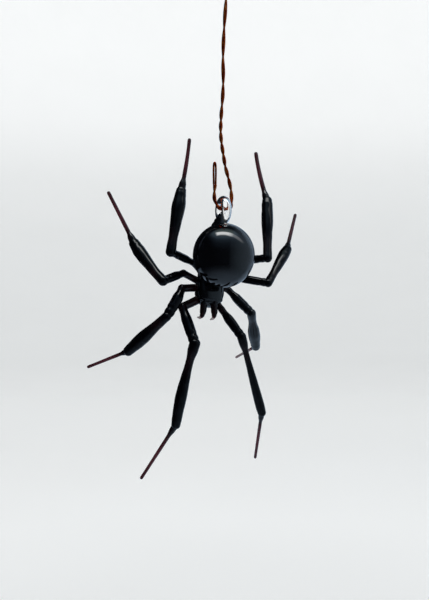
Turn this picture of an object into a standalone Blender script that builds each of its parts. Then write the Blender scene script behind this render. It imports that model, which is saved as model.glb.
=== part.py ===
"""A flame-worked black glass spider ornament that hangs head down from a doubled, twisted copper wire.

Frame: +X to the spider's left, -Y out of its back, +Z up towards its tail. The origin is the inner top of
the loop that ends the wire, where a hook or nail carries the ornament. Lengths are in millimetres.
"""

import math

import bmesh
import bpy
from mathutils import Matrix, Vector

MM = 0.001  # metres in a millimetre
GAP = 0.3  # clearance kept between pieces that touch on the real ornament

# Body
ABDOMEN_CENTRE = Vector((-0.7, -3.0, -71.65))
ABDOMEN_RADII = Vector((7.67, 7.3, 7.97))
CARAPACE_REAR = Vector((-4.3, 5.4, -72.8))
CARAPACE_FRONT = Vector((-4.3, 1.9, -84.5))
CARAPACE_HALF_WIDTH = 3.7
CARAPACE_DEPTH_RATIO = 0.85  # half depth over half width
# Share of the length from the rear, and share of the greatest half width there
CARAPACE_OUTLINE = (
    (0.03, 0.35),
    (0.12, 0.6),
    (0.28, 0.8),
    (0.5, 0.95),
    (0.7, 1.0),
    (0.85, 0.92),
    (0.94, 0.68),
)

# Clear ring, the foot that fuses it to the abdomen, and the wire through it
RING_CENTRE = Vector((-0.8, 0.0, -60.2))
RING_TURN = math.radians(20)  # the hole's axis, turned from +X towards +Y
RING_RADIUS = 2.35
RING_ROD_RADIUS = 1.25
WIRE_RADIUS = 0.5  # of the twisted pair
STRAND_RADIUS = 0.22
FOOT_SPINE = (
    (-1.5, -0.7, -65.3),
    (-1.75, -1.2, -64.2),
    (-1.75, -1.75, -63.2),
    (-1.6, -2.15, -62.4),
    (-1.45, -2.4, -61.6),
    (-1.3, -2.5, -60.9),
)
FOOT_RADII = (2.75, 2.1, 1.42, 0.95, 0.55, 0.15)

# The bearing: the wire's middle inside the ring, against the top of the hole
HOLE_AXIS = Vector((math.cos(RING_TURN), math.sin(RING_TURN), 0.0))
BEARING = RING_CENTRE + Vector((0, 0, RING_RADIUS - RING_ROD_RADIUS - GAP - WIRE_RADIUS))

# Wire, from its folded end up to the loop that carries it
LOOP_RADIUS = 2.6
LOOP_CENTRE = Vector((0.0, 0.0, WIRE_RADIUS - LOOP_RADIUS))
EYE_TIP = Vector((-2.95, -0.85, -48.4))
# Depth below the eye's tip, and half the gap between its two strands there
EYE_HALF_GAPS = ((5.3, 0.25), (4.3, 0.26), (2.6, 0.29), (1.0, 0.27), (0.25, 0.18))
HOOK_ROUTE = (
    (-2.9, -0.85, -54.0),
    (-3.05, -0.85, -56.6),
    (-2.8, -0.75, -58.2),
    (-1.95, -0.42, -59.55),
    (-0.8, 0.0, -59.9),
    (0.35, 0.42, -59.8),
    (1.1, 0.67, -59.2),
    (1.3, 0.75, -58.1),
    (1.25, 0.75, -56.7),
    (1.15, 0.7, -55.2),
)
WIRE_ROUTE = (
    (1.1, 0.7, -54.85),
    (0.5, 0.55, -52.2),
    (-0.1, 0.4, -50.0),
    (-0.4, 0.3, -48.7),
    (-0.75, 0.2, -46.5),
    (-1.2, 0.1, -43.6),
    (-1.45, 0.0, -40.6),
    (-1.3, 0.0, -36.2),
    (-0.95, 0.0, -31.7),
    (-0.8, 0.0, -27.2),
    (-0.87, 0.0, -22.8),
    (-0.75, 0.0, -18.0),
    (-0.5, 0.0, -13.3),
    (-0.25, 0.0, -9.5),
    (-0.1, 0.0, -7.3),
    (0.0, 0.0, -5.55),
)

# Fangs: spine and radii, each starting inside the carapace
FANG_RADII = (0.85, 0.88, 0.84, 0.62, 0.38, 0.22)
FANG_SPINES = {
    "right_fang": (
        (-5.5, 1.3, -82.8),
        (-5.7, 0.9, -84.0),
        (-5.85, 0.6, -85.3),
        (-6.1, 0.4, -86.4),
        (-6.6, 0.3, -87.0),
        (-7.15, 0.2, -86.95),
    ),
    "left_fang": (
        (-3.2, 1.3, -82.8),
        (-3.1, 0.9, -84.2),
        (-3.05, 0.6, -85.5),
        (-3.1, 0.4, -86.5),
        (-3.4, 0.3, -87.2),
        (-3.95, 0.2, -87.5),
    ),
}

# Legs, numbered from the head: hip, elbow, knee, ankle and toe, then the radii of the hip stub, femur, knee
# ball, tibia neck, tibia swelling, ankle and tip, then how far along the tibia its swelling is
LEGS = {
    "right_1": (
        (
            (-6.5, 2.8, -82.2), (-11.0, -0.5, -84.4), (-7.8, -5.0, -93.3),
            (-12.7, 1.0, -113.9), (-21.8, 6.5, -128.4),
        ),
        (1.08, 1.34, 1.37, 1.0, 1.47, 1.25, 0.48),
        0.68,
    ),
    "right_2": (
        (
            (-6.8, 3.2, -79.5), (-11.15, 0.0, -79.7), (-14.8, -3.5, -86.7),
            (-24.8, 2.5, -95.5), (-35.6, 7.5, -99.9),
        ),
        (1.0, 1.36, 1.22, 1.2, 1.64, 1.38, 0.45),
        0.65,
    ),
    "right_3": (
        (
            (-6.6, 4.0, -78.1), (-10.8, 0.8, -75.9), (-15.6, -4.5, -77.9),
            (-23.2, 1.5, -68.4), (-30.0, 4.5, -55.3),
        ),
        (0.9, 1.1, 1.3, 1.22, 1.66, 1.42, 0.53),
        0.8,
    ),
    "right_4": (
        (
            (-6.8, 4.2, -74.9), (-8.4, 2.0, -73.2), (-13.7, -4.5, -70.8),
            (-11.4, 1.5, -55.2), (-9.4, 4.5, -41.8),
        ),
        (0.8, 0.98, 1.3, 1.17, 1.72, 1.4, 0.54),
        0.75,
    ),
    "left_1": (
        (
            (-3.0, 3.2, -82.5), (-1.2, 2.6, -85.0), (3.8, 1.0, -91.8),
            (9.3, 9.0, -111.9), (8.1, 20.0, -125.5),
        ),
        (0.85, 1.17, 1.15, 0.76, 1.18, 1.17, 0.45),
        0.85,
    ),
    "left_2": (
        (
            (-1.5, 5.2, -79.2), (0.6, 5.8, -80.1), (6.4, 4.5, -86.0),
            (8.0, 15.0, -95.0), (3.1, 24.5, -98.5),
        ),
        (0.85, 1.22, 1.17, 1.0, 1.57, 1.27, 0.38),
        0.6,
    ),
    "left_3": (
        (
            (-1.0, 5.6, -76.3), (1.6, 6.2, -76.7), (10.6, 3.0, -78.3),
            (16.05, 11.5, -69.3), (19.1, 21.0, -59.4),
        ),
        (0.85, 1.07, 1.1, 1.02, 1.44, 1.3, 0.5),
        0.85,
    ),
    "left_4": (
        (
            (-1.2, 5.4, -74.0), (1.4, 6.2, -73.0), (10.4, 2.5, -72.0),
            (10.8, 10.5, -56.7), (8.1, 15.5, -43.5),
        ),
        (0.85, 1.05, 1.17, 1.12, 1.52, 1.4, 0.6),
        0.65,
    ),
}
# How far the middle of a segment bows out of its straight line
BOWS = {
    ("right_2", "femur"): Vector((0.4, 0.0, 0.2)),
    ("left_4", "femur"): Vector((0.0, 1.0, 0.1)),
    ("left_4", "tip"): Vector((-0.3, 0.0, 0.0)),
    ("right_4", "tip"): Vector((0.2, 0.0, 0.0)),
    ("right_1", "tibia"): Vector((-0.35, 0.0, 0.0)),
    ("right_3", "tibia"): Vector((-0.2, 0.0, -0.2)),
}
BEHIND_ABDOMEN = ("left_3", "left_4")  # legs whose femurs pass behind the abdomen
NECK_AT = 0.2  # share of the tibia's length where it is thinnest
TIP_CONE = 0.2  # share of the tip's length taken by the cone under the ankle
SOCKET_CLEARANCE = 1.15  # how far past its socket a segment's second ring is, in socket radii

BLACK_GLASS = ((0.006, 0.006, 0.01), 0.05, 0.0)
AMETHYST_GLASS = ((0.09, 0.02, 0.025), 0.06, 0.0)
CLEAR_GLASS = ((0.9, 0.92, 0.92), 0.02, 0.0)
COPPER = ((0.24, 0.08, 0.03), 0.3, 1.0)


def clear_scene():
    for thing in list(bpy.data.objects):
        bpy.data.objects.remove(thing, do_unlink=True)


def principled(name, finish):
    """A Principled BSDF material of one colour, roughness and metallic value."""
    colour, roughness, metallic = finish
    material = bpy.data.materials.new(name)
    material.use_nodes = True
    shader = material.node_tree.nodes["Principled BSDF"]
    shader.inputs["Base Color"].default_value = (*colour, 1.0)
    shader.inputs["Roughness"].default_value = roughness
    shader.inputs["Metallic"].default_value = metallic
    material.diffuse_color = (*colour, 1.0)
    return material


def add_object(name, data, finish, swings=None):
    """Links a piece, hanging it from the given empty if it swings."""
    piece = bpy.data.objects.new(name, data)
    bpy.context.scene.collection.objects.link(piece)
    if finish is not None:
        data.materials.append(principled(name, finish))
    if swings is not None:
        piece.parent = swings
    return piece


def mesh_from(name, shape, origin):
    """Turns a bmesh in millimetres into a mesh in metres about the given origin."""
    bmesh.ops.recalc_face_normals(shape, faces=shape.faces)
    bmesh.ops.transform(shape, matrix=Matrix.Scale(MM, 4) @ Matrix.Translation(-origin), verts=shape.verts)
    mesh = bpy.data.meshes.new(name)
    shape.to_mesh(mesh)
    shape.free()
    mesh.shade_smooth()
    return mesh


def hide_as_cutter(piece):
    piece.hide_render = True
    piece.display_type = "WIRE"
    return piece


def cut(piece, cutter):
    """Takes a cutter's space out of a piece."""
    modifier = piece.modifiers.new("Clearance to " + cutter.name, "BOOLEAN")
    modifier.operation = "DIFFERENCE"
    modifier.solver = "EXACT"
    modifier.object = cutter


def catmull_rom(points, share):
    """The point this share of the way along a smooth curve through the points."""
    position = share * (len(points) - 1)
    index = min(int(position), len(points) - 2)
    t = position - index
    p1, p2 = points[index], points[index + 1]
    p0 = points[index - 1] if index else 2 * p1 - p2
    p3 = points[index + 2] if index + 2 < len(points) else 2 * p2 - p1
    square, cube = 2 * p0 - 5 * p1 + 4 * p2 - p3, 3 * p1 - p0 - 3 * p2 + p3
    return 0.5 * (2 * p1 + (p2 - p0) * t + square * t**2 + cube * t**3)


def even_points(route, spacing):
    """Points a spacing apart along a smooth curve through a route."""
    corners = [Vector(point) for point in route]
    fine = [catmull_rom(corners, step / 400) for step in range(401)]
    travelled = [0.0]
    for before, after in zip(fine, fine[1:]):
        travelled.append(travelled[-1] + (after - before).length)
    count = max(2, round(travelled[-1] / spacing))
    points, index = [], 0
    for step in range(count + 1):
        wanted = travelled[-1] * step / count
        while index < len(fine) - 2 and travelled[index + 1] < wanted:
            index += 1
        span = travelled[index + 1] - travelled[index]
        part = (wanted - travelled[index]) / span if span else 0.0
        points.append(fine[index].lerp(fine[index + 1], part))
    return points


def eased(keys, share):
    """A value read from (share, value) keys, easing in and out between them."""
    for (low, low_value), (high, high_value) in zip(keys, keys[1:]):
        if share <= high:
            t = (share - low) / (high - low)
            t = t * t * (3 - 2 * t)
            return low_value + (high_value - low_value) * t
    return keys[-1][1]


def turned_frames(points):
    """A tangent and two side vectors at each point, carried along without twisting."""
    frames = []
    side = None
    for index, point in enumerate(points):
        before, after = points[max(index - 1, 0)], points[min(index + 1, len(points) - 1)]
        tangent = (after - before).normalized()
        if side is None:
            side = tangent.orthogonal()
        side = (side - tangent * side.dot(tangent)).normalized()
        frames.append((tangent, side, tangent.cross(side)))
    return frames


def end_cap(centre, outward, radius, socket=0.0):
    """(centre, radius) of the rings of an end, from its rim in, and its last point.

    A round end is half a ball about the centre. A socket is the hollow that a ball of the given radius
    leaves.
    """
    rings = []
    for angle in (30, 60):
        ring_radius = radius * math.cos(math.radians(angle))
        if socket:
            reach = -math.sqrt(socket**2 - ring_radius**2)
        else:
            reach = radius * math.sin(math.radians(angle))
        rings.append((centre + outward * reach, ring_radius))
    return rings, centre + outward * (-socket if socket else radius)


def rod_shape(points, radii, sides, socket=0.0):
    """A closed rod along the points, round at its far end and round or hollowed at its near end."""
    frames = turned_frames(points)
    first_cap, first_pole = end_cap(points[0], -frames[0][0], radii[0], socket)
    last_cap, last_pole = end_cap(points[-1], frames[-1][0], radii[-1])
    rims = list(zip(points, radii))
    if socket:
        rims[0] = (points[0] + frames[0][0] * math.sqrt(socket**2 - radii[0] ** 2), radii[0])
    rings = [(*ring, frames[0]) for ring in reversed(first_cap)]
    rings += [(*ring, frame) for ring, frame in zip(rims, frames)]
    rings += [(*ring, frames[-1]) for ring in last_cap]

    shape = bmesh.new()
    loops = []
    for centre, radius, (_, side, other) in rings:
        loop = []
        for index in range(sides):
            angle = 2 * math.pi * index / sides
            offset = math.cos(angle) * side + math.sin(angle) * other
            loop.append(shape.verts.new(centre + radius * offset))
        loops.append(loop)
    for loop, following in zip(loops, loops[1:]):
        for index in range(sides):
            after = (index + 1) % sides
            shape.faces.new((loop[index], loop[after], following[after], following[index]))
    for loop, pole in ((loops[0], first_pole), (loops[-1], last_pole)):
        tip = shape.verts.new(pole)
        for index in range(sides):
            shape.faces.new((loop[index], loop[(index + 1) % sides], tip))
    return shape


def segment_points(start, end, bow, count, socket):
    """Points along a bowed segment, and the share of its length at each. The second is past the socket."""
    first = SOCKET_CLEARANCE * socket / (end - start).length
    steps = range(0 if socket else 1, count + 1)
    shares = [0.0] + [first + (1 - first) * step / count for step in steps]
    return [start.lerp(end, share) + bow * 4 * share * (1 - share) for share in shares], shares


def ellipsoid(name, centre, radii, finish, swings, segments=28, rings=18):
    shape = bmesh.new()
    bmesh.ops.create_uvsphere(shape, u_segments=segments, v_segments=rings, radius=1.0)
    bmesh.ops.scale(shape, vec=radii, verts=shape.verts)
    bmesh.ops.translate(shape, vec=centre, verts=shape.verts)
    return add_object(name, mesh_from(name, shape, BEARING), finish, swings)


def torus_shape(centre, axis, radius, rod_radius, segments, sides):
    """A ring of round rod about an axis."""
    shape = bmesh.new()
    turn = axis.to_track_quat("Z", "Y")
    loops = []
    for step in range(segments):
        around = 2 * math.pi * step / segments
        outward = turn @ Vector((math.cos(around), math.sin(around), 0.0))
        loop = []
        for index in range(sides):
            angle = 2 * math.pi * index / sides
            reach = radius + rod_radius * math.cos(angle)
            loop.append(shape.verts.new(centre + outward * reach + axis * rod_radius * math.sin(angle)))
        loops.append(loop)
    for step in range(segments):
        loop, following = loops[step], loops[(step + 1) % segments]
        for index in range(sides):
            after = (index + 1) % sides
            shape.faces.new((loop[index], loop[after], following[after], following[index]))
    return shape


def carapace(name, spread, finish, swings):
    """The cephalothorax: oval sections along its axis, each grown by the spread."""
    axis = (CARAPACE_FRONT - CARAPACE_REAR).normalized()
    depth_way = axis.cross(Vector((1, 0, 0))).normalized()
    sides = 22
    shape = bmesh.new()
    loops = []
    for share, width_share in CARAPACE_OUTLINE:
        centre = CARAPACE_REAR.lerp(CARAPACE_FRONT, share)
        half_width = CARAPACE_HALF_WIDTH * width_share + spread
        half_depth = CARAPACE_HALF_WIDTH * width_share * CARAPACE_DEPTH_RATIO + spread
        loop = []
        for index in range(sides):
            angle = 2 * math.pi * index / sides
            across = Vector((half_width * math.cos(angle), 0, 0))
            loop.append(shape.verts.new(centre + across + depth_way * half_depth * math.sin(angle)))
        loops.append(loop)
    for loop, following in zip(loops, loops[1:]):
        for index in range(sides):
            after = (index + 1) % sides
            shape.faces.new((loop[index], loop[after], following[after], following[index]))
    ends = ((loops[0], CARAPACE_REAR - axis * spread), (loops[-1], CARAPACE_FRONT + axis * spread))
    for loop, pole in ends:
        tip = shape.verts.new(pole)
        for index in range(sides):
            shape.faces.new((loop[index], loop[(index + 1) % sides], tip))
    return add_object(name, mesh_from(name, shape, BEARING), finish, swings)


def wire_tube(name, route, radius, spacing, bevel_resolution):
    """A round tube along a smooth route, as a polyline curve with a bevel."""
    curve = bpy.data.curves.new(name, "CURVE")
    curve.dimensions = "3D"
    curve.bevel_depth = radius * MM
    curve.bevel_resolution = bevel_resolution
    curve.use_fill_caps = True
    points = even_points(route, spacing)
    spline = curve.splines.new("POLY")
    spline.points.add(len(points) - 1)
    for spline_point, point in zip(spline.points, points):
        spline_point.co = (*(point * MM), 1.0)
    return add_object(name, curve, COPPER)


def make_body(swings):
    """The abdomen and cephalothorax. Returns the clearance shapes that pieces around them are cut by."""
    radii = ABDOMEN_RADII + Vector((GAP, GAP, GAP))
    near_abdomen = hide_as_cutter(ellipsoid("abdomen_space", ABDOMEN_CENTRE, radii, None, swings))
    near_carapace = hide_as_cutter(carapace("cephalothorax_space", GAP, None, swings))
    ellipsoid("abdomen", ABDOMEN_CENTRE, ABDOMEN_RADII, BLACK_GLASS, swings)
    cut(carapace("cephalothorax", 0.0, BLACK_GLASS, swings), near_abdomen)
    return near_abdomen, near_carapace


def make_ring(swings, near_abdomen):
    """The clear hanging ring and the black foot, drawn up into a horn, that fuses it to the abdomen."""
    ring = torus_shape(RING_CENTRE, HOLE_AXIS, RING_RADIUS, RING_ROD_RADIUS, 28, 14)
    add_object("hanging_ring", mesh_from("hanging_ring", ring, BEARING), CLEAR_GLASS, swings)
    space = torus_shape(RING_CENTRE, HOLE_AXIS, RING_RADIUS, RING_ROD_RADIUS + GAP, 28, 14)
    near_ring = add_object("ring_space", mesh_from("ring_space", space, BEARING), None, swings)
    foot = rod_shape([Vector(point) for point in FOOT_SPINE], FOOT_RADII, 18)
    piece = add_object("ring_foot", mesh_from("ring_foot", foot, BEARING), BLACK_GLASS, swings)
    cut(piece, near_abdomen)
    cut(piece, hide_as_cutter(near_ring))


def make_fangs(swings, near_carapace):
    for name, spine in FANG_SPINES.items():
        fang = rod_shape([Vector(point) for point in spine], FANG_RADII, 10)
        piece = add_object(name, mesh_from(name, fang, BEARING), AMETHYST_GLASS, swings)
        cut(piece, near_carapace)


def make_leg(side, joints, radii, swell_at, swings, near_abdomen, near_carapace):
    """One leg: hip stub, femur, tibia and tip. Each ball end sits in the hollow end of its neighbour."""
    hip, elbow, knee, ankle, toe = (Vector(joint) for joint in joints)
    hip_radius, femur_radius, knee_radius = radii[:3]
    neck_radius, swell_radius, ankle_radius, tip_radius = radii[3:]

    def add_segment(part, start, end, keys, sides, count, finish, start_ball=0.0, spread=0.0):
        """Adds a rod from start to end, with radii from keys. start_ball is its neighbour's rounded end."""
        bow = BOWS.get((side, part), Vector())
        socket = start_ball + GAP if start_ball else 0.0
        points, shares = segment_points(start, end, bow, count, socket)
        widths = [eased(keys, share) + spread for share in shares]
        name = f"{side}_{part}" + ("_space" if spread else "")
        mesh = mesh_from(name, rod_shape(points, widths, sides, socket), BEARING)
        return add_object(name, mesh, finish, swings)

    stub_keys = ((0.0, hip_radius * 1.08), (0.6, hip_radius * 0.97), (1.0, hip_radius))
    stub = add_segment("hip_stub", hip, elbow, stub_keys, 10, 4, AMETHYST_GLASS)
    cut(stub, near_carapace)
    thigh = femur_radius
    femur_keys = ((0.0, hip_radius), (0.35, thigh), (0.7, thigh), (1.0, thigh * 0.9))
    femur = add_segment("femur", elbow, knee, femur_keys, 12, 6, BLACK_GLASS, start_ball=hip_radius)
    if side in BEHIND_ABDOMEN:
        cut(femur, near_abdomen)
    knee_key, ankle_key = (0.0, knee_radius), (1.0, ankle_radius)
    tibia_keys = (knee_key, (NECK_AT, neck_radius), (swell_at, swell_radius), ankle_key)
    add_segment("tibia", knee, ankle, tibia_keys, 12, 10, BLACK_GLASS)
    near_tibia = add_segment("tibia", knee, ankle, tibia_keys, 12, 10, None, spread=GAP)
    cut(femur, hide_as_cutter(near_tibia))
    tip_keys = ((0.0, ankle_radius * 0.75), (TIP_CONE, tip_radius), (1.0, tip_radius * 0.85))
    add_segment("tip", ankle, toe, tip_keys, 8, 8, AMETHYST_GLASS, start_ball=ankle_radius)


def make_wire():
    """The wire: the loop that carries it, its long run, the hook through the ring and the folded end."""
    loop = torus_shape(LOOP_CENTRE, Vector((0, 1, 0)), LOOP_RADIUS, WIRE_RADIUS, 24, 8)
    add_object("top_loop", mesh_from("top_loop", loop, Vector()), COPPER)
    wire_tube("hanging_wire", WIRE_ROUTE, WIRE_RADIUS, 2.2, 2)
    wire_tube("wire_hook", HOOK_ROUTE, WIRE_RADIUS, 0.75, 2)
    one_side = [EYE_TIP + Vector((-half_gap, 0, -depth)) for depth, half_gap in EYE_HALF_GAPS]
    other_side = [EYE_TIP + Vector((half_gap, 0, -depth)) for depth, half_gap in reversed(EYE_HALF_GAPS)]
    wire_tube("folded_end", [*one_side, EYE_TIP, *other_side], STRAND_RADIUS, 0.4, 1)


def main():
    clear_scene()
    swings = bpy.data.objects.new("spider_swing", None)
    bpy.context.scene.collection.objects.link(swings)
    swings.location = BEARING * MM
    near_abdomen, near_carapace = make_body(swings)
    make_ring(swings, near_abdomen)
    make_fangs(swings, near_carapace)
    for side, (joints, radii, swell_at) in LEGS.items():
        make_leg(side, joints, radii, swell_at, swings, near_abdomen, near_carapace)
    make_wire()


main()
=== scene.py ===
"""A lamp-worked black glass spider ornament, hung head down from a twisted copper wire in soft daylight."""

import math

import bpy
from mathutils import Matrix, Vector, noise


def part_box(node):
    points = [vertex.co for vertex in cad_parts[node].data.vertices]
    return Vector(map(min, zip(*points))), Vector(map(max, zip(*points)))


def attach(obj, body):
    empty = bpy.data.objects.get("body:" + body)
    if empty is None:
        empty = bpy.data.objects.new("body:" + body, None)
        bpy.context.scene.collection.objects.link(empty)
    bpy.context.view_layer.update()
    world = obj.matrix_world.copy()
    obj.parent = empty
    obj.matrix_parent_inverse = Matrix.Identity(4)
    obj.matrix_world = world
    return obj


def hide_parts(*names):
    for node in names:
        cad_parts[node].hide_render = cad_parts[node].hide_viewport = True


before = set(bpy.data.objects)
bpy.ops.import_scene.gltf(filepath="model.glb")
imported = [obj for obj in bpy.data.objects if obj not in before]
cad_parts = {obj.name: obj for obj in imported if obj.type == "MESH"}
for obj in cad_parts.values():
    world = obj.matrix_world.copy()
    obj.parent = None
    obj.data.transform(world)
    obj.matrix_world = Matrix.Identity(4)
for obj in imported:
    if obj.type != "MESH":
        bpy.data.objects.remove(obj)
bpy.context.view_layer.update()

MM = 0.001  # metres in a millimetre; the lengths in this file are in millimetres unless they say metres

# ---------------------------------------------------------------- places and sizes, as the CAD has them
ABDOMEN_NODE, CARAPACE_NODE = "abdomen", "cephalothorax"
CARAPACE_REAR = Vector((-4.3, 5.4, -72.8))
CARAPACE_FRONT = Vector((-4.3, 1.9, -84.5))
CARAPACE_HALF_WIDTH = 3.7
CARAPACE_DEPTH_RATIO = 0.85
CARAPACE_TURN = math.radians(26)  # its flattened back is turned this much towards the spider's left
CARAPACE_SQUARENESS = 2.7  # 2 is an oval
CARAPACE_OUTLINE = (
    (0.0, 0.12),
    (0.03, 0.36),
    (0.12, 0.61),
    (0.28, 0.81),
    (0.5, 0.96),
    (0.7, 1.0),
    (0.85, 0.9),
    (0.94, 0.66),
    (0.985, 0.34),
)
RING_CENTRE = Vector((-0.8, 0.0, -60.2))
HOLE_AXIS = Vector((math.cos(math.radians(20)), math.sin(math.radians(20)), 0.0))
RING_RADIUS = 2.35
RING_ROD_RADIUS = 1.25
FOOT_SPINE = (
    (-1.5, -0.7, -65.3),
    (-1.75, -1.2, -64.2),
    (-1.75, -1.75, -63.2),
    (-1.6, -2.15, -62.4),
    (-1.45, -2.4, -61.6),
    (-1.3, -2.5, -60.9),
)
FOOT_RADII = (2.75, 2.1, 1.42, 0.95, 0.55, 0.15)
LOOP_RADIUS = 2.6
LOOP_CENTRE = Vector((0.0, 0.0, -2.1))
EYE_TIP = Vector((-2.95, -0.85, -48.4))
EYE_HALF_GAPS = ((5.3, 0.25), (4.3, 0.26), (2.6, 0.29), (1.0, 0.27), (0.25, 0.18))
HOOK_ROUTE = (
    (-2.9, -0.85, -54.0),
    (-3.05, -0.85, -56.6),
    (-2.8, -0.75, -58.2),
    (-1.95, -0.42, -59.55),
    (-0.8, 0.0, -59.9),
    (0.35, 0.42, -59.8),
    (1.1, 0.67, -59.2),
    (1.3, 0.75, -58.1),
    (1.25, 0.75, -56.7),
    (1.15, 0.7, -55.2),
)
WIRE_ROUTE = (
    (1.1, 0.7, -54.85),
    (0.5, 0.55, -52.2),
    (-0.1, 0.4, -50.0),
    (-0.4, 0.3, -48.7),
    (-0.75, 0.2, -46.5),
    (-1.2, 0.1, -43.6),
    (-1.45, 0.0, -40.6),
    (-1.3, 0.0, -36.2),
    (-0.95, 0.0, -31.7),
    (-0.8, 0.0, -27.2),
    (-0.87, 0.0, -22.8),
    (-0.75, 0.0, -18.0),
    (-0.5, 0.0, -13.3),
    (-0.25, 0.0, -9.5),
    (-0.1, 0.0, -7.3),
    (0.0, 0.0, -5.55),
)
FANG_RADII = (0.85, 0.88, 0.84, 0.62, 0.38, 0.22)
FANG_SPINES = {
    "right_fang": (
        (-5.5, 1.3, -82.8),
        (-5.7, 0.9, -84.0),
        (-5.85, 0.6, -85.3),
        (-6.1, 0.4, -86.4),
        (-6.6, 0.3, -87.0),
        (-7.15, 0.2, -86.95),
    ),
    "left_fang": (
        (-3.2, 1.3, -82.8),
        (-3.1, 0.9, -84.2),
        (-3.05, 0.6, -85.5),
        (-3.1, 0.4, -86.5),
        (-3.4, 0.3, -87.2),
        (-3.95, 0.2, -87.5),
    ),
}
# Legs: hip, elbow, knee, ankle and toe; radii of the hip stub, femur, knee ball, tibia neck, tibia
# swelling, ankle and tip; how far along the tibia its swelling is; the tip's collar under the ankle, as a
# share of the ankle's radius and of the tip's length, and how clear the tip's glass is; above 1, as on
# left_2, it also paints the tip paler grey, a painted sheen for the hazy reflection along that leg
LEGS = {
    "right_1": (
        (
            (-6.5, 2.8, -82.2), (-11.0, -0.5, -84.4), (-7.8, -5.0, -93.3),
            (-12.7, 1.0, -113.9), (-21.8, 6.5, -128.4),
        ),
        (1.08, 1.34, 1.37, 1.0, 1.47, 1.25, 0.48),
        0.68,
        (0.72, 0.22, 1.0),
    ),
    "right_2": (
        (
            (-6.8, 3.2, -79.5), (-11.15, 0.0, -79.7), (-14.8, -3.5, -86.7),
            (-24.8, 2.5, -95.5), (-35.6, 7.5, -99.9),
        ),
        (1.0, 1.36, 1.22, 1.2, 1.64, 1.38, 0.45),
        0.65,
        (0.62, 0.2, 1.0),
    ),
    "right_3": (
        (
            (-6.6, 4.0, -78.1), (-10.8, 0.8, -75.9), (-15.6, -4.5, -77.9),
            (-23.2, 1.5, -68.4), (-30.0, 4.5, -55.3),
        ),
        (0.9, 1.1, 1.3, 1.22, 1.66, 1.42, 0.53),
        0.8,
        (0.78, 0.22, 1.0),
    ),
    "right_4": (
        (
            (-6.8, 4.2, -74.9), (-8.4, 2.0, -73.2), (-13.7, -4.5, -70.8),
            (-11.4, 1.5, -55.2), (-9.4, 4.5, -41.8),
        ),
        (0.8, 0.98, 1.3, 1.17, 1.72, 1.4, 0.54),
        0.75,
        (0.78, 0.26, 1.0),
    ),
    "left_1": (
        (
            (-3.0, 3.2, -82.5), (-1.2, 2.6, -85.0), (3.8, 1.0, -91.8),
            (9.3, 9.0, -111.9), (8.1, 20.0, -125.5),
        ),
        (0.85, 1.17, 1.15, 0.76, 1.18, 1.17, 0.45),
        0.85,
        (0.74, 0.2, 1.0),
    ),
    "left_2": (
        (
            (-1.5, 5.2, -79.2), (0.6, 5.8, -80.1), (6.4, 4.5, -86.0),
            (8.0, 15.0, -95.0), (3.1, 24.5, -98.5),
        ),
        (0.85, 1.22, 1.17, 1.0, 1.57, 1.27, 0.38),
        0.6,
        # painted sheen: 1.76 pushes this tip to pale grey for the hazy reflection along this leg
        (0.6, 0.16, 1.76),
    ),
    "left_3": (
        (
            (-1.0, 5.6, -76.3), (1.6, 6.2, -76.7), (10.6, 3.0, -78.3),
            (16.05, 11.5, -69.3), (19.1, 21.0, -59.4),
        ),
        (0.85, 1.07, 1.1, 1.02, 1.44, 1.3, 0.5),
        0.85,
        (0.74, 0.2, 1.0),
    ),
    "left_4": (
        (
            (-1.2, 5.4, -74.0), (1.4, 6.2, -73.0), (10.4, 2.5, -72.0),
            (10.8, 10.5, -56.7), (8.1, 15.5, -43.5),
        ),
        (0.85, 1.05, 1.17, 1.12, 1.52, 1.4, 0.6),
        0.65,
        (0.76, 0.22, 1.0),
    ),
}
# How far the middle of a rod stands off the straight line between its ends
BOWS = {
    ("right_2", "femur"): Vector((0.4, 0.0, 0.2)),
    ("left_4", "femur"): Vector((0.0, 1.0, 0.1)),
    ("left_4", "tip"): Vector((-0.3, 0.0, 0.0)),
    ("right_4", "tip"): Vector((0.2, 0.0, 0.0)),
    ("right_1", "tibia"): Vector((-0.35, 0.0, 0.0)),
    ("right_3", "tibia"): Vector((-0.2, 0.0, -0.2)),
}
NECK_AT = 0.2  # how far along the tibia its narrow neck is
SHINY_LEG = "left_2"  # its glass takes the light more than the other legs' glass does


# ---------------------------------------------------------------- camera
def make_camera():
    data = bpy.data.cameras.new("camera")
    data.sensor_fit = "VERTICAL"
    data.sensor_height = 24.0
    data.lens = 35.2
    data.clip_start = 0.001
    camera = bpy.data.objects.new("camera", data)
    bpy.context.scene.collection.objects.link(camera)
    camera.location = (-0.003, -0.22, -0.08262)
    camera.rotation_euler = (math.pi / 2, 0, 0)
    bpy.context.scene.camera = camera


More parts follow.
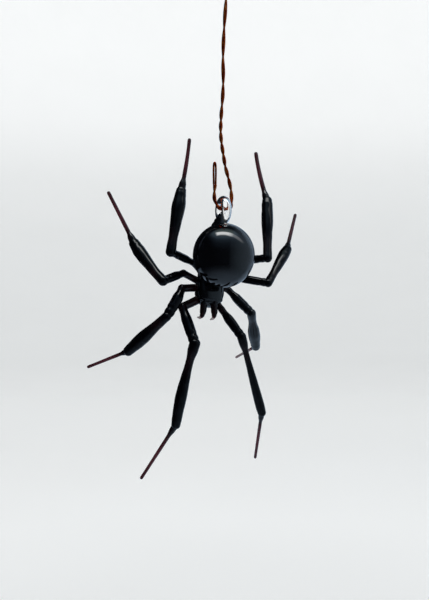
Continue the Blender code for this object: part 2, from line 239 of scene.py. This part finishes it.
# ---------------------------------------------------------------- materials
class Nodes:
    """A material's node tree, with short calls to add to it. Lengths in it are in metres."""

    def __init__(self, name, **sockets):
        self.material = bpy.data.materials.new(name)
        self.material.use_nodes = True
        self.tree = self.material.node_tree
        self.shader = self.tree.nodes["Principled BSDF"]
        for socket, value in sockets.items():
            self.shader.inputs[socket.replace("_", " ")].default_value = value

    def add(self, kind, inputs=(), **settings):
        node = self.tree.nodes.new(kind)
        for key, value in settings.items():
            setattr(node, key, value)
        for key, value in dict(inputs).items():
            if isinstance(value, bpy.types.NodeSocket):
                self.tree.links.new(value, node.inputs[key])
            else:
                node.inputs[key].default_value = value
        return node

    def link(self, output, socket):
        self.tree.links.new(output, self.shader.inputs[socket])

    def place(self, stretch=(1.0, 1.0, 1.0)):
        """Object coordinates, stretched."""
        where = self.add("ShaderNodeTexCoord").outputs["Object"]
        return self.add("ShaderNodeMapping", {"Vector": where, "Scale": stretch}).outputs["Vector"]

    def noise(self, scale, detail=2.0, place=None):
        inputs = {"Vector": place or self.place(), "Scale": scale, "Detail": detail}
        return self.add("ShaderNodeTexNoise", inputs).outputs["Fac"]

    def ramp(self, value, *stops):
        node = self.add("ShaderNodeValToRGB", {"Fac": value})
        elements = node.color_ramp.elements
        for index, (position, colour) in enumerate(stops):
            element = elements[index] if index < 2 else elements.new(position)
            element.position = position
            element.color = (*colour, 1.0)
        return node.outputs["Color"]

    def span(self, value, low, high, from_low=0.0, from_high=1.0):
        inputs = {"Value": value, "From Min": from_low, "From Max": from_high}
        return self.add("ShaderNodeMapRange", {**inputs, "To Min": low, "To Max": high}).outputs["Result"]

    def bump(self, height, distance, strength=1.0, under=None):
        inputs = {"Height": height, "Distance": distance, "Strength": strength}
        if under is not None:
            inputs["Normal"] = under
        return self.add("ShaderNodeBump", inputs).outputs["Normal"]

    def shade_along(self):
        """The value stored on each point of a rod: how thin and light the glass is there, from 0 to 1."""
        return self.add("ShaderNodeAttribute", attribute_name="thin").outputs["Fac"]


def glass_surface(nodes, waves, fine):
    """Slow flame-worked waviness with a few seeds and dust specks, as one bump chain."""
    slow = nodes.bump(nodes.noise(260.0, 1.0), waves)
    seeds = nodes.add("ShaderNodeTexVoronoi", {"Vector": nodes.place(), "Scale": 520.0})
    dot = nodes.span(seeds.outputs["Distance"], 1.0, 0.0, 0.0, 0.09)
    return nodes.bump(dot, fine, 0.8, slow)


def black_glass(name, gloss, waves=0.00002):
    """Black glass, which turns reddish brown where a rod is drawn thin."""
    nodes = Nodes(name, IOR=1.52, Specular_IOR_Level=gloss)
    tint = nodes.ramp(
        nodes.shade_along(),
        (0.0, (0.0007, 0.0007, 0.0012)),
        (0.45, (0.006, 0.003, 0.004)),
        (1.0, (0.05, 0.012, 0.012)),
    )
    nodes.link(tint, "Base Color")
    smudge = nodes.noise(420.0, 3.0)
    nodes.link(nodes.span(smudge, 0.015, 0.06, 0.35, 0.75), "Roughness")
    nodes.link(glass_surface(nodes, waves, 0.00001), "Normal")
    return nodes.material


def amethyst_glass():
    """Deep purple-brown glass, clear enough to let some light through its thin rods."""
    nodes = Nodes("amethyst_glass", IOR=1.52, Specular_IOR_Level=0.2, Transmission_Weight=0.1)
    tint = nodes.ramp(
        nodes.shade_along(),
        (0.0, (0.0015, 0.001, 0.0015)),
        (0.4, (0.022, 0.006, 0.007)),
        (0.7, (0.07, 0.018, 0.026)),
        (0.85, (0.09, 0.035, 0.04)),
        (1.0, (0.45, 0.42, 0.43)),
    )
    nodes.link(tint, "Base Color")
    nodes.link(nodes.span(nodes.noise(500.0, 2.0), 0.03, 0.1, 0.3, 0.7), "Roughness")
    nodes.link(glass_surface(nodes, 0.00001, 0.000005), "Normal")
    return nodes.material


def clear_glass():
    nodes = Nodes("clear_glass", IOR=1.38, Transmission_Weight=1.0, Roughness=0.0)
    tint = nodes.ramp(nodes.noise(300.0), (0.3, (0.97, 0.985, 0.985)), (0.7, (1.0, 1.0, 1.0)))
    nodes.link(tint, "Base Color")
    nodes.link(nodes.bump(nodes.noise(500.0, 1.0), 0.00002), "Normal")
    return nodes.material


def copper():
    """Bare copper wire, browned by handling and flame, bright where it was rubbed."""
    nodes = Nodes("copper_wire", Metallic=1.0, Specular_Tint=(0.6, 0.2, 0.06, 1.0))
    patina = nodes.noise(900.0, 4.0)
    tint = nodes.ramp(
        patina,
        (0.3, (0.13, 0.008, 0.001)),
        (0.5, (0.29, 0.036, 0.005)),
        (0.72, (0.65, 0.19, 0.045)),
    )
    nodes.link(tint, "Base Color")
    nodes.link(nodes.span(patina, 0.5, 0.3, 0.35, 0.7), "Roughness")
    scratches = nodes.noise(1500.0, 3.0, nodes.place((1.0, 1.0, 0.12)))
    nodes.link(nodes.bump(scratches, 0.00003), "Normal")
    return nodes.material


# ---------------------------------------------------------------- shape helpers
def catmull_rom(points, share):
    position = share * (len(points) - 1)
    index = min(int(position), len(points) - 2)
    t = position - index
    p1, p2 = points[index], points[index + 1]
    p0 = points[index - 1] if index else 2 * p1 - p2
    p3 = points[index + 2] if index + 2 < len(points) else 2 * p2 - p1
    square, cube = 2 * p0 - 5 * p1 + 4 * p2 - p3, 3 * p1 - p0 - 3 * p2 + p3
    return 0.5 * (2 * p1 + (p2 - p0) * t + square * t**2 + cube * t**3)


def even_points(route, spacing):
    """Points a spacing apart along a smooth curve through a route."""
    corners = [Vector(point) for point in route]
    steps = 60 * len(corners)
    fine = [catmull_rom(corners, step / steps) for step in range(steps + 1)]
    travelled = [0.0]
    for before, after in zip(fine, fine[1:]):
        travelled.append(travelled[-1] + (after - before).length)
    count = max(2, round(travelled[-1] / spacing))
    points, index = [], 0
    for step in range(count + 1):
        wanted = travelled[-1] * step / count
        while index < len(fine) - 2 and travelled[index + 1] < wanted:
            index += 1
        span = travelled[index + 1] - travelled[index]
        part = (wanted - travelled[index]) / span if span else 0.0
        points.append(fine[index].lerp(fine[index + 1], part))
    return points


def eased(keys, share):
    """A value read from (share, value) keys, easing in and out between them."""
    if share <= keys[0][0]:
        return keys[0][1]
    for (low, low_value), (high, high_value) in zip(keys, keys[1:]):
        if share <= high:
            t = (share - low) / (high - low)
            t = t * t * (3 - 2 * t)
            return low_value + (high_value - low_value) * t
    return keys[-1][1]


def evenly_spaced(values):
    """Keys for eased() that spread some values evenly from 0 to 1."""
    return [(index / (len(values) - 1), value) for index, value in enumerate(values)]


def sphere_way(polar, angle):
    return Vector((math.sin(polar) * math.cos(angle), math.sin(polar) * math.sin(angle), math.cos(polar)))


def turned_frames(points):
    """A tangent and two side vectors at each point, carried along without twisting."""
    frames = []
    side = None
    last = len(points) - 1
    for index in range(len(points)):
        before, after = points[max(index - 1, 0)], points[min(index + 1, last)]
        tangent = (after - before).normalized()
        if side is None:
            side = tangent.orthogonal()
        side = (side - tangent * side.dot(tangent)).normalized()
        frames.append((tangent, side, tangent.cross(side)))
    return frames


def add_piece(name, verts, faces, material, body, nodes=(), thin=None):
    """Adds a smooth mesh given in millimetres, riding on a body and standing for CAD nodes."""
    mesh = bpy.data.meshes.new(name)
    mesh.from_pydata([vert * MM for vert in verts], [], faces)
    mesh.validate()
    if thin is not None:
        layer = mesh.attributes.new("thin", "FLOAT", "POINT")
        layer.data.foreach_set("value", thin)
    mesh.materials.append(material)
    mesh.shade_smooth()
    piece = bpy.data.objects.new(name, mesh)
    bpy.context.scene.collection.objects.link(piece)
    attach(piece, body)
    if nodes:
        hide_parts(*nodes)
    return piece


def strip(rings, closed_rings=False, poles=()):
    """Faces between rings of equal size, which follow each other in the list of points, and end fans."""
    sides = len(rings[0])
    verts = [vert for ring in rings for vert in ring]
    faces = []
    spans = len(rings) if closed_rings else len(rings) - 1
    for step in range(spans):
        start, following = step * sides, ((step + 1) % len(rings)) * sides
        for index in range(sides):
            after = (index + 1) % sides
            faces.append((start + index, start + after, following + after, following + index))
    for pole, ring in zip(poles, (0, len(rings) - 1)):
        verts.append(pole)
        tip, start = len(verts) - 1, ring * sides
        for index in range(sides):
            after = (index + 1) % sides
            pair = (start + after, start + index) if ring == 0 else (start + index, start + after)
            faces.append((*pair, tip))
    return verts, faces


def rod(points, radii, sides=28, thin=None, cap_steps=6, wobble=0.0):
    """A round-ended rod along points. Returns its points, faces and a thin value for each point."""
    frames = turned_frames(points)
    stations = []
    values = thin or [0.0] * len(points)
    for step in range(cap_steps, 0, -1):
        angle = math.pi / 2 * step / (cap_steps + 0.5)
        centre = points[0] - frames[0][0] * radii[0] * math.sin(angle)
        stations.append((centre, radii[0] * math.cos(angle), frames[0], values[0]))
    stations += list(zip(points, radii, frames, values))
    for step in range(1, cap_steps + 1):
        angle = math.pi / 2 * step / (cap_steps + 0.5)
        centre = points[-1] + frames[-1][0] * radii[-1] * math.sin(angle)
        stations.append((centre, radii[-1] * math.cos(angle), frames[-1], values[-1]))
    rings, shades = [], []
    for centre, radius, (_, side, other), value in stations:
        ring = []
        for index in range(sides):
            angle = 2 * math.pi * index / sides
            spot = centre + radius * (math.cos(angle) * side + math.sin(angle) * other)
            if wobble:
                spot = centre + (spot - centre) * (1 + wobble * noise.noise(spot * 0.45))
            ring.append(spot)
            shades.append(value)
        rings.append(ring)
    poles = (points[0] - frames[0][0] * radii[0], points[-1] + frames[-1][0] * radii[-1])
    verts, faces = strip(rings, poles=poles)
    return verts, faces, shades + [values[0], values[-1]]


def bowed_points(start, end, bow, count):
    """Points along a bowed rod, and the share of its length at each."""
    shares = [step / count for step in range(count + 1)]
    return [start.lerp(end, share) + bow * 4 * share * (1 - share) for share in shares], shares


# ---------------------------------------------------------------- the glass spider
def make_abdomen(material):
    """The round abdomen, with faint ridges where its hot glass was drawn up into the ring's foot."""
    low, high = (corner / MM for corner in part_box(ABDOMEN_NODE))
    centre, radii = (low + high) / 2, (high - low) / 2
    foot = Vector((-1.2, 0.0, centre.z + radii.z - 0.4))
    rings, rows, sides = [], 110, 150
    for row in range(1, rows):
        polar = math.pi * row / rows
        ring = []
        for index in range(sides):
            angle = 2 * math.pi * index / sides
            spot = centre + sphere_way(polar, angle) * radii
            swell = 1 + 0.006 * noise.noise(spot * 0.16) + 0.0012 * noise.noise(spot * 0.7)
            reach = (spot - foot).length
            ridge = math.exp(-(((reach - 3.6) / 0.9) ** 2))
            ridge *= math.sin(reach * 9.0 + 2 * noise.noise(spot * 0.5))
            ring.append(centre + (spot - centre) * (swell + 0.004 * ridge))
        rings.append(ring)
    poles = (centre + Vector((0, 0, radii.z)), centre - Vector((0, 0, radii.z)))
    verts, faces = strip([list(reversed(ring)) for ring in rings], poles=poles)
    add_piece("abdomen_glass", verts, faces, material, "spider", [ABDOMEN_NODE])


def squared_off(value):
    """A cosine or sine, pushed outwards so that an oval made with it is squarer."""
    return math.copysign(abs(value) ** (2 / CARAPACE_SQUARENESS), value)


def make_carapace(material):
    """The cephalothorax, a bead flattened on its back and fused to the abdomen."""
    axis = (CARAPACE_FRONT - CARAPACE_REAR).normalized()
    depth_way = axis.cross(Vector((1, 0, 0))).normalized()
    rings, section, rows, sides = [], [], 60, 96
    turn_cos, turn_sin = math.cos(CARAPACE_TURN), math.sin(CARAPACE_TURN)
    for index in range(sides):
        angle = 2 * math.pi * index / sides
        across = squared_off(math.cos(angle))
        deep = squared_off(math.sin(angle)) * CARAPACE_DEPTH_RATIO
        section.append((across * turn_cos + deep * turn_sin, deep * turn_cos - across * turn_sin))
    widest = max(across for across, _ in section)
    for row in range(rows + 1):
        share = CARAPACE_OUTLINE[-1][0] * row / rows
        width = CARAPACE_HALF_WIDTH * eased(CARAPACE_OUTLINE, share)
        ring = []
        centre = CARAPACE_REAR.lerp(CARAPACE_FRONT, share)
        for across, deep in section:
            offset = (Vector((across, 0, 0)) + depth_way * deep) * width / widest
            ring.append(centre + offset * (1 + 0.02 * noise.noise((centre + offset) * 0.4)))
        rings.append(ring)
    verts, faces = strip(rings, poles=(CARAPACE_REAR, CARAPACE_FRONT))
    add_piece("cephalothorax_glass", verts, faces, material, "spider", [CARAPACE_NODE])


def tapered_rod(spine, end_radii, count, sides, shade_keys=((0.0, 0.0),), wobble=0.0):
    """A rod through a spine's points, its radii spread evenly along it."""
    corners = [Vector(point) for point in spine]
    shares = [step / count for step in range(count + 1)]
    points = [catmull_rom(corners, share) for share in shares]
    radii = [eased(evenly_spaced(end_radii), share) for share in shares]
    return rod(points, radii, sides, [eased(shade_keys, share) for share in shares], wobble=wobble)


def make_ring(clear, black):
    """The clear hanging ring and the black foot with its horn."""
    turn = HOLE_AXIS.to_track_quat("Z", "Y")
    rings, steps, sides = [], 96, 40
    for step in range(steps):
        around = 2 * math.pi * step / steps
        outward = turn @ Vector((math.cos(around), math.sin(around), 0.0))
        ring = []
        for index in range(sides):
            angle = 2 * math.pi * index / sides
            reach = RING_RADIUS + RING_ROD_RADIUS * math.cos(angle)
            ring.append(RING_CENTRE + outward * reach + HOLE_AXIS * RING_ROD_RADIUS * math.sin(angle))
        rings.append(ring)
    verts, faces = strip(rings, closed_rings=True)
    add_piece("hanging_ring_glass", verts, faces, clear, "spider", ["hanging_ring"])

    verts, faces, shades = tapered_rod(FOOT_SPINE, FOOT_RADII, 40, 40, wobble=0.05)
    add_piece("ring_foot_glass", verts, faces, black, "spider", ["ring_foot"], shades)


def make_fangs(material):
    """The two fangs, dark down to their clearer hooked tips."""
    shade_keys = ((0.0, 0.0), (0.35, 0.05), (0.68, 0.12), (0.8, 0.95))
    for name, spine in FANG_SPINES.items():
        verts, faces, shades = tapered_rod(spine, FANG_RADII, 48, 24, shade_keys)
        add_piece(name + "_glass", verts, faces, material, "spider", [name], shades)


def make_leg(side, joints, radii, swell_at, collar, black, amethyst):
    """A leg of four rods, each fused into the next: hip stub, femur, tibia and thin tip."""
    hip, elbow, knee, ankle, toe = (Vector(joint) for joint in joints)
    hip_radius, femur_radius, knee_radius = radii[:3]
    neck_radius, swell_radius, ankle_radius, tip_radius = radii[3:]

    def add_rod(part, start, end, keys, shade_keys, material, count=44, sides=28, wobble=0.05):
        points, shares = bowed_points(start, end, BOWS.get((side, part), Vector()), count)
        widths = [eased(keys, share) for share in shares]
        thin = [eased(shade_keys, share) for share in shares]
        verts, faces, shades = rod(points, widths, sides, thin, wobble=wobble)
        node = f"{side}_{part}"
        add_piece(node + "_glass", verts, faces, material, "spider", [node], shades)

    into_body = hip + (hip - elbow).normalized() * 0.6
    stub_keys = ((0.0, hip_radius * 1.12), (0.3, hip_radius), (0.75, hip_radius * 0.96), (1.0, hip_radius))
    stub_shade = ((0.0, 0.22), (0.6, 0.1), (1.0, 0.0))
    add_rod("hip_stub", into_body, elbow, stub_keys, stub_shade, amethyst)

    seat = 1 - 1.05 * knee_radius / (knee - elbow).length  # where the femur runs into the knee's ball
    femur_keys = (
        (0.0, hip_radius * 1.06),
        (0.12, hip_radius * 1.01),
        (0.38, femur_radius),
        (0.7, femur_radius),
        (seat - 0.08, femur_radius * 0.92),
        (seat, femur_radius * 0.99),
        (1.0, femur_radius * 0.8),
    )
    add_rod("femur", elbow, knee, femur_keys, ((0.0, 0.3), (0.25, 0.0), (1.0, 0.0)), black)

    tibia_keys = (
        (0.0, knee_radius),
        (NECK_AT * 0.35, knee_radius * 0.98),
        (NECK_AT, neck_radius),
        (swell_at, swell_radius),
        (0.93, ankle_radius * 1.03),
        (1.0, ankle_radius * 0.94),
    )
    neck_shade = ((0.0, 0.0), (NECK_AT, 0.35), (2.2 * NECK_AT, 0.0))
    add_rod("tibia", knee, ankle, tibia_keys, neck_shade, black, count=60)

    collar_radius, collar_length, clearness_and_sheen = collar
    tip_keys = (
        (0.0, ankle_radius * collar_radius),
        (collar_length * 0.45, ankle_radius * collar_radius * 0.86),
        (collar_length, tip_radius * 1.02),
        (0.9, tip_radius * 0.88),
        (0.97, tip_radius * 0.9),
        (1.0, tip_radius * 0.84),
    )
    tip_shade = (
        (0.0, 0.0),
        (collar_length * 0.6, 0.05),
        # a clearness above 1 also paints the tip paler grey, a painted sheen
        (collar_length * 1.4, 0.5 * clearness_and_sheen),
        (0.5, min(0.66 * clearness_and_sheen, 0.9)),
        (1.0, 0.5 * clearness_and_sheen),
    )
    add_rod("tip", ankle, toe, tip_keys, tip_shade, amethyst, sides=22, wobble=0.03)


# ---------------------------------------------------------------- the copper wire
STRAND_RADIUS = 0.26
STRAND_OFFSET = 0.24  # from the middle of the pair to the middle of a strand
# Height, and the length that one full turn of the twist takes there
TWIST_PITCHES = (
    (-60.0, 6.4),
    (-52.0, 6.2),
    (-45.0, 5.6),
    (-38.0, 5.8),
    (-33.0, 10.0),
    (-25.0, 14.0),
    (-5.0, 15.0),
)


def twisted_pair(points, frames, angles):
    """Two strands wound round a line, as one mesh. The angles give the pair's turn at each point."""
    verts, faces = [], []
    for half_turn in (0.0, math.pi):
        centres = []
        for point, (_, side, other), angle in zip(points, frames, angles):
            way = math.cos(angle + half_turn) * side + math.sin(angle + half_turn) * other
            centres.append(point + way * STRAND_OFFSET)
        made, quads, _ = rod(centres, [STRAND_RADIUS] * len(centres), 12, cap_steps=3)
        faces += [tuple(corner + len(verts) for corner in face) for face in quads]
        verts += made
    return verts, faces


def make_wire(material):
    """The doubled, twisted wire: folded eye, hook through the ring, long run and the loop at its top."""
    route = even_points(HOOK_ROUTE + WIRE_ROUTE, 0.22)
    frames = turned_frames(route)
    split = min(range(len(route)), key=lambda index: (route[index] - Vector(WIRE_ROUTE[0])).length)
    _, side, other = frames[0]
    angles = [math.atan2(other.x, side.x)]  # the strands start side by side, as they are in the eye
    for before, after in zip(route, route[1:]):
        angles.append(angles[-1] + 2 * math.pi * (after - before).length / eased(TWIST_PITCHES, after.z))

    part = slice(0, split + 1)
    verts, faces = twisted_pair(route[part], frames[part], angles[part])
    add_piece("wire_hook_strands", verts, faces, material, "wire", ["wire_hook"])
    part = slice(split, len(route))
    verts, faces = twisted_pair(route[part], frames[part], angles[part])
    run = add_piece("hanging_wire_strands", verts, faces, material, "wire", ["hanging_wire"])

    one_side = [EYE_TIP + Vector((-gap, 0, -depth)) for depth, gap in EYE_HALF_GAPS]
    other_side = [EYE_TIP + Vector((gap, 0, -depth)) for depth, gap in reversed(EYE_HALF_GAPS)]
    fold = even_points([*one_side, EYE_TIP, *other_side], 0.08)
    verts, faces, _ = rod(fold, [STRAND_RADIUS * 0.97] * len(fold), 14)
    add_piece("folded_end_strand", verts, faces, material, "wire", ["folded_end"])

    steps = 120
    circle = []
    for step in range(steps + 1):
        around = -math.pi / 2 + 2 * math.pi * step / steps
        circle.append(LOOP_CENTRE + LOOP_RADIUS * Vector((math.cos(around), 0, math.sin(around))))
    turns = [0.42 * step for step in range(steps + 1)]
    verts, faces = twisted_pair(circle, turned_frames(circle), turns)
    loop = add_piece("top_loop_strands", verts, faces, material, "wire", ["top_loop"])

    # The loop's end is wound three times round the run's top
    wraps, wrap_radius, top, drop, count = 3.2, 0.74, -5.0, 1.75, 110
    wrap = []
    for step in range(count + 1):
        around = 2 * math.pi * wraps * step / count
        centre = Vector((0.02, 0, top - drop * step / count))
        wrap.append(centre + wrap_radius * Vector((math.cos(around), math.sin(around), 0)))
    verts, faces, _ = rod(wrap, [STRAND_RADIUS] * len(wrap), 12)
    binding = add_piece("top_loop_binding", verts, faces, material, "wire")


# ---------------------------------------------------------------- surroundings
# How far up the sweep of floor and wall, from 0 to 1, and the painted glow given to it there as emission
TENT_PAINTED_GLOW = (
    (0.06, 0.25),
    (0.115, 0.29),
    (0.235, 0.23),
    (0.364, 0.2),
    (0.475, 0.15),
    (0.695, 0.18),
    (0.79, 0.23),
    (0.87, 0.33),
    (0.94, 0.36),
)


def pale(name, colour):
    """Matt pale paper with a painted glow that varies by height, brightest near the top of the wall."""
    nodes = Nodes(name, Roughness=0.9, Specular_IOR_Level=0.1, Emission_Strength=1.0)
    low = tuple(value * 0.985 for value in colour)
    nodes.link(nodes.ramp(nodes.noise(14.0, 3.0), (0.35, low), (0.65, colour)), "Base Color")
    axes = nodes.add("ShaderNodeSeparateXYZ", {"Vector": nodes.place()}).outputs
    flat = nodes.place((1.0, 1.0, 0.0))
    reach = nodes.add("ShaderNodeVectorMath", {0: flat}, operation="LENGTH").outputs["Value"]
    sweep = nodes.add("ShaderNodeMath", {0: reach, 1: axes["Z"]}, operation="ADD").outputs["Value"]
    stops = [(place, (level,) * 3) for place, level in TENT_PAINTED_GLOW]
    glow = nodes.ramp(nodes.span(sweep, 0.0, 1.0, -0.2, 2.0), *stops)
    # painted light: emission by height stands in for the paper being lit more in some bands than others
    nodes.link(glow, "Emission Color")
    return nodes.material


def add_stage(name, verts, faces, material, smooth):
    """Adds a floor or backdrop mesh given in metres, which isn't part of the object."""
    mesh = bpy.data.meshes.new(name)
    mesh.from_pydata(verts, [], faces)
    mesh.materials.append(material)
    if smooth:
        mesh.shade_smooth()
    stage = bpy.data.objects.new(name, mesh)
    bpy.context.scene.collection.objects.link(stage)
    return stage


def make_tent(material):
    """A round pale floor that sweeps up into a wall, open at the top."""
    floor, radius, bend, top = -0.2, 1.5, 0.7, 1.3
    profile = [(0.02, floor), (0.2, floor), (0.5, floor), (radius - bend, floor)]
    for step in range(1, 17):
        angle = math.pi / 2 * step / 16
        profile.append((radius - bend + bend * math.sin(angle), floor + bend * (1 - math.cos(angle))))
    profile.append((radius, top))
    sides, rings = 96, []
    for reach, height in profile:
        ring = []
        for index in range(sides):
            angle = 2 * math.pi * index / sides
            ring.append(Vector((reach * math.cos(angle), reach * math.sin(angle), height)))
        rings.append(ring)
    verts, faces = strip(rings)
    verts.append(Vector((0, 0, floor)))
    faces += [((index + 1) % sides, index, len(verts) - 1) for index in range(sides)]
    add_stage("tent", verts, faces, material, smooth=True)


def make_reflected_room():
    """What the gloss sees in place of the tent: a dim room in front and at the left, lighter at the right.

    It is a dome seen by reflections only. It is clear below the horizon and behind, where the pale floor
    and wall take over.
    """
    nodes = Nodes("reflected_room")
    where = nodes.add("ShaderNodeTexCoord").outputs["Object"]
    way = nodes.add("ShaderNodeVectorMath", {0: where}, operation="NORMALIZE").outputs["Vector"]
    axes = nodes.add("ShaderNodeSeparateXYZ", {"Vector": way}).outputs

    def fade(value, low, high):
        inputs = {"Value": value, "From Min": low, "From Max": high}
        return nodes.add("ShaderNodeMapRange", inputs, interpolation_type="SMOOTHSTEP").outputs["Result"]

    def maths(operation, first, second):
        return nodes.add("ShaderNodeMath", {0: first, 1: second}, operation=operation).outputs["Value"]

    def times(*values):
        product = values[0]
        for value in values[1:]:
            product = maths("MULTIPLY", product, value)
        return product

    def scaled(colour, scale):
        inputs = {0: colour, "Scale": scale}
        return nodes.add("ShaderNodeVectorMath", inputs, operation="SCALE").outputs["Vector"]

    # The dome covers what is in front and overhead, and a dark screen behind the spider's right side
    x, y, z = axes["X"], axes["Y"], axes["Z"]
    cover = maths("MAXIMUM", fade(y, 0.5, 0.2), fade(z, 0.6, 0.9))
    screen = times(fade(x, 0.15, -0.05), fade(y, 0.15, 0.4), fade(z, -0.45, -0.25))
    cover = maths("MAXIMUM", times(cover, fade(z, -1.06, -0.5)), screen)
    tone = nodes.ramp(
        nodes.span(x, 0.0, 1.0, -1.0, 1.0),
        (0.1, (0.012, 0.016, 0.022)),
        (0.65, (0.035, 0.046, 0.06)),
        (0.7, (0.11, 0.15, 0.19)),
        (0.75, (0.13, 0.175, 0.22)),
        (0.85, (0.22, 0.3, 0.37)),
        (0.94, (0.29, 0.39, 0.48)),
        (1.0, (0.33, 0.43, 0.53)),
    )
    mix_inputs = {"Factor": screen, 6: tone, 7: (0.01, 0.012, 0.016, 1.0)}
    tone = nodes.add("ShaderNodeMix", mix_inputs, data_type="RGBA").outputs[2]

    # The daylight overhead: a bowed bright band, and its glow on the ceiling in front of it
    height = maths("MAXIMUM", z, 0.05)
    across, ahead = maths("DIVIDE", x, height), maths("DIVIDE", y, height)
    bow = maths("MULTIPLY", across, maths("SUBTRACT", maths("MULTIPLY", across, 0.1), 0.1))
    past = maths("SUBTRACT", maths("ADD", ahead, 0.21), bow)
    edges = (fade(past, -0.22, -0.07), fade(past, 0.18, 0.07))
    band = times(*edges, fade(across, -0.44, -0.3), fade(z, 0.1, 0.3))
    taper = nodes.ramp(
        nodes.span(across, 0.0, 1.0, 0.0, 2.0),
        (0.11, (1.0, 1.0, 1.0)),
        (0.24, (0.2, 0.2, 0.2)),
        (0.6, (0.12, 0.12, 0.12)),
        (0.9, (0.0, 0.0, 0.0)),
    )
    band = scaled(taper, times(band, 10.5))
    ceiling = nodes.ramp(
        z,
        (0.3, (0.0, 0.0, 0.0)),
        (0.63, (0.065, 0.1, 0.14)),
        (0.78, (0.17, 0.26, 0.36)),
        (0.89, (0.55, 0.8, 1.0)),
        (0.95, (0.75, 1.0, 1.0)),
    )
    ceiling = scaled(ceiling, times(fade(x, -0.75, -0.35), fade(y, 0.3, 0.0)))
    for light in (band, ceiling):
        tone = nodes.add("ShaderNodeVectorMath", {0: tone, 1: light}, operation="ADD").outputs["Vector"]
    glow = nodes.add("ShaderNodeEmission", {"Color": tone, "Strength": 1.0})
    clear = nodes.add("ShaderNodeBsdfTransparent", {"Color": (0.48, 0.62, 0.8, 1.0)})
    shaders = {1: clear.outputs["BSDF"], 2: glow.outputs["Emission"]}
    blend = nodes.add("ShaderNodeMixShader", {"Fac": cover, **shaders})
    output = nodes.tree.nodes["Material Output"]
    nodes.tree.links.new(blend.outputs["Shader"], output.inputs["Surface"])

    # In metres; the dome is cut off flat this far below its middle, to stay above the floor
    sides, rows, radius, flat_below, rings = 48, 24, 0.55, 0.12, []
    for row in range(1, rows):
        ways = [sphere_way(math.pi * row / rows, 2 * math.pi * index / sides) for index in range(sides)]
        rings.append([way * min(radius, flat_below / max(-way.z, 0.001)) for way in ways])
    verts, faces = strip(rings, poles=(Vector((0, 0, radius)), Vector((0, 0, -flat_below))))
    dome = add_stage("reflected_room", verts, faces, nodes.material, smooth=False)
    dome.location = (0, 0, -0.075)
    dome.visible_camera = dome.visible_diffuse = dome.visible_shadow = dome.visible_transmission = False


def make_surroundings():
    world = bpy.data.worlds.new("room")
    bpy.context.scene.world = world
    world.use_nodes = True
    sky = world.node_tree.nodes["Background"].inputs
    sky["Color"].default_value = (0.96, 0.985, 1.0, 1.0)
    sky["Strength"].default_value = 0.52
    make_tent(pale("pale_tent", (0.8, 0.81, 0.81)))
    make_reflected_room()
    bpy.context.scene.view_settings.view_transform = "Standard"


# ---------------------------------------------------------------- build
make_camera()
body_glass = black_glass("black_glass", gloss=0.5)
leg_glass = black_glass("black_rod_glass", gloss=0.14)
shiny_leg_glass = black_glass("black_shiny_rod_glass", gloss=0.4, waves=0.000006)
amethyst, clear, metal = amethyst_glass(), clear_glass(), copper()
make_wire(metal)
make_abdomen(body_glass)
make_carapace(body_glass)
make_ring(clear, body_glass)
make_fangs(amethyst)
for leg, (joints, radii, swell_at, collar) in LEGS.items():
    rod_glass = shiny_leg_glass if leg == SHINY_LEG else leg_glass
    make_leg(leg, joints, radii, swell_at, collar, rod_glass, amethyst)
make_surroundings()
